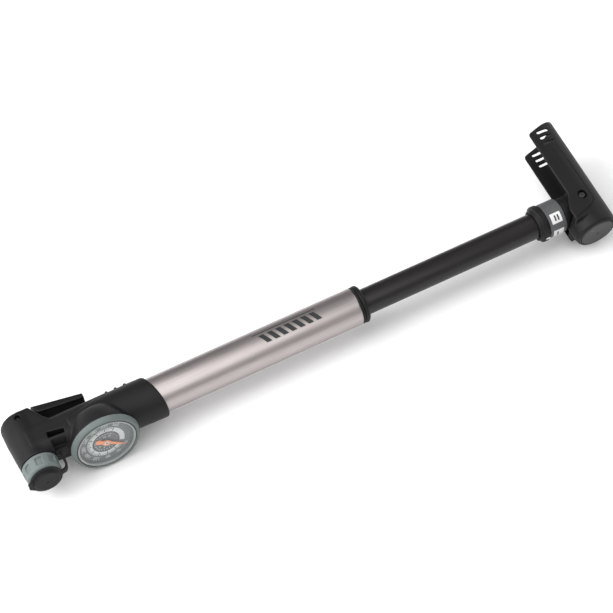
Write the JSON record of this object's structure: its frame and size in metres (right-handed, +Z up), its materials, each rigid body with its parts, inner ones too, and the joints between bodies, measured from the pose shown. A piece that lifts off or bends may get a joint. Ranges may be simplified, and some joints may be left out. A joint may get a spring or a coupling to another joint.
{
  "type": "hand shock pump",
  "caption": "Slim telescopic hand pump with a lever-lock valve head, a round pressure gauge, a sliding rod and a fold-out channel handle.",
  "frame": {"origin": "bottom centre of the whole pump, extended, lying on its side", "axes": "+X along the pump axis from the valve head to the handle, the valve mouth and gauge face -Y, the lock lever lies on the +Y side, +Z up"},
  "size_m": [0.3708, 0.078, 0.0442],
  "materials": {
    "black_plastic": "fine matte moulded black plastic with a soft sheen",
    "black_rubber": "dull black moulded rubber",
    "grey_plastic": "matte greenish grey moulded plastic",
    "bezel_grey": "matte greenish grey moulded plastic",
    "collar_grey": "matte dark grey moulded plastic",
    "end_disc_grey": "fine textured grey plastic",
    "silver_barrel": "satin brushed aluminium with a slightly warm cast",
    "black_anodised": "satin black anodised aluminium",
    "lens_clear": "clear polished plastic lens",
    "dial_grey": "printed grey dial with pale scale band",
    "needle_orange": "matte orange pointer",
    "brass_parts": "machined brass",
    "steel_parts": "machined steel"
  },
  "bodies": {
    "head": {"head_body": "black_plastic", "chuck_grommet": "black_rubber", "chuck_washer": "brass_parts", "cap_strap": "black_rubber", "lever_pin": "steel_parts", "gauge_bezel": "bezel_grey", "gauge_lens": "lens_clear", "gauge_dial": "dial_grey", "movement_plate": "brass_parts", "bourdon_tube": "brass_parts", "gauge_socket": "brass_parts", "barrel_tube": "silver_barrel", "barrel_base_plug": "grey_plastic", "end_cap_oring": "black_rubber", "barrel_end_cap": "black_plastic", "rod_guide_bush": "brass_parts"},
    "lever": {"lock_lever": "black_plastic"},
    "plunger": {"chuck_plunger": "grey_plastic"},
    "nut": {"valve_nut": "grey_plastic"},
    "cap": {"dust_cap": "black_rubber"},
    "needle": {"gauge_needle": "needle_orange", "needle_shaft": "brass_parts"},
    "sector": {"sector_gear": "brass_parts"},
    "check_valve": {"check_valve_disc": "black_rubber"},
    "piston": {"piston": "grey_plastic", "piston_oring": "black_rubber"},
    "rod": {"rod_tube": "black_anodised", "selector_base": "black_plastic", "handle_knuckle": "black_plastic", "handle_pin": "steel_parts"},
    "selector": {"selector_collar": "collar_grey", "selector_stem": "steel_parts", "selector_key": "steel_parts"},
    "handle": {"handle_shell": "black_plastic", "handle_end_cap": "end_disc_grey"}
  },
  "joints": [
    {"name": "pump_stroke", "type": "slide", "parent": "head", "child": "piston", "axis": [1, 0, 0], "range_m": [-0.11, 0]},
    {"name": "rod_swivel", "type": "hinge", "parent": "piston", "child": "rod", "pos_m": [0, -0.01576, 0.02], "axis": [1, 0, 0], "continuous": true},
    {"name": "selector_twist", "type": "hinge", "parent": "rod", "child": "selector", "pos_m": [0.153, -0.01576, 0.02], "axis": [1, 0, 0], "range_deg": [0, 60]},
    {"name": "handle_fold", "type": "hinge", "parent": "rod", "child": "handle", "pos_m": [0.1723, -0.01576, 0.02], "axis": [0, -0.2215, 0.9751], "range_deg": [0, 90]},
    {"name": "lever_flip", "type": "hinge", "parent": "head", "child": "lever", "pos_m": [-0.1742, 0.00134, 0.02], "axis": [0, 0, 1], "range_deg": [0, 90]},
    {"name": "plunger_press", "type": "slide", "parent": "head", "child": "plunger", "axis": [0, -1, 0], "range_m": [0, 0.00155]},
    {"name": "nut_turn", "type": "hinge", "parent": "head", "child": "nut", "pos_m": [-0.1741, -0.01576, 0.02], "axis": [0, -1, 0], "range_deg": [0, 90]},
    {"name": "cap_pull", "type": "slide", "parent": "head", "child": "cap", "axis": [0, -1, 0], "range_m": [0, 0.009]},
    {"name": "needle_sweep", "type": "hinge", "parent": "head", "child": "needle", "pos_m": [-0.1364, -0.01576, 0.02], "axis": [0, 1, 0], "range_deg": [0, 270]},
    {"name": "sector_swing", "type": "hinge", "parent": "head", "child": "sector", "pos_m": [-0.1269, -0.01576, 0.02], "axis": [0, 1, 0], "range_deg": [-41, 0]},
    {"name": "valve_lift", "type": "slide", "parent": "head", "child": "check_valve", "axis": [-1, 0, 0], "range_m": [0, 0.0015]}
  ],
  "couplings": [
    {"joint": "plunger_press", "follows": "lever_flip", "m_per_rad": 0.000955},
    {"joint": "sector_swing", "follows": "needle_sweep", "ratio": -0.15}
  ]
}
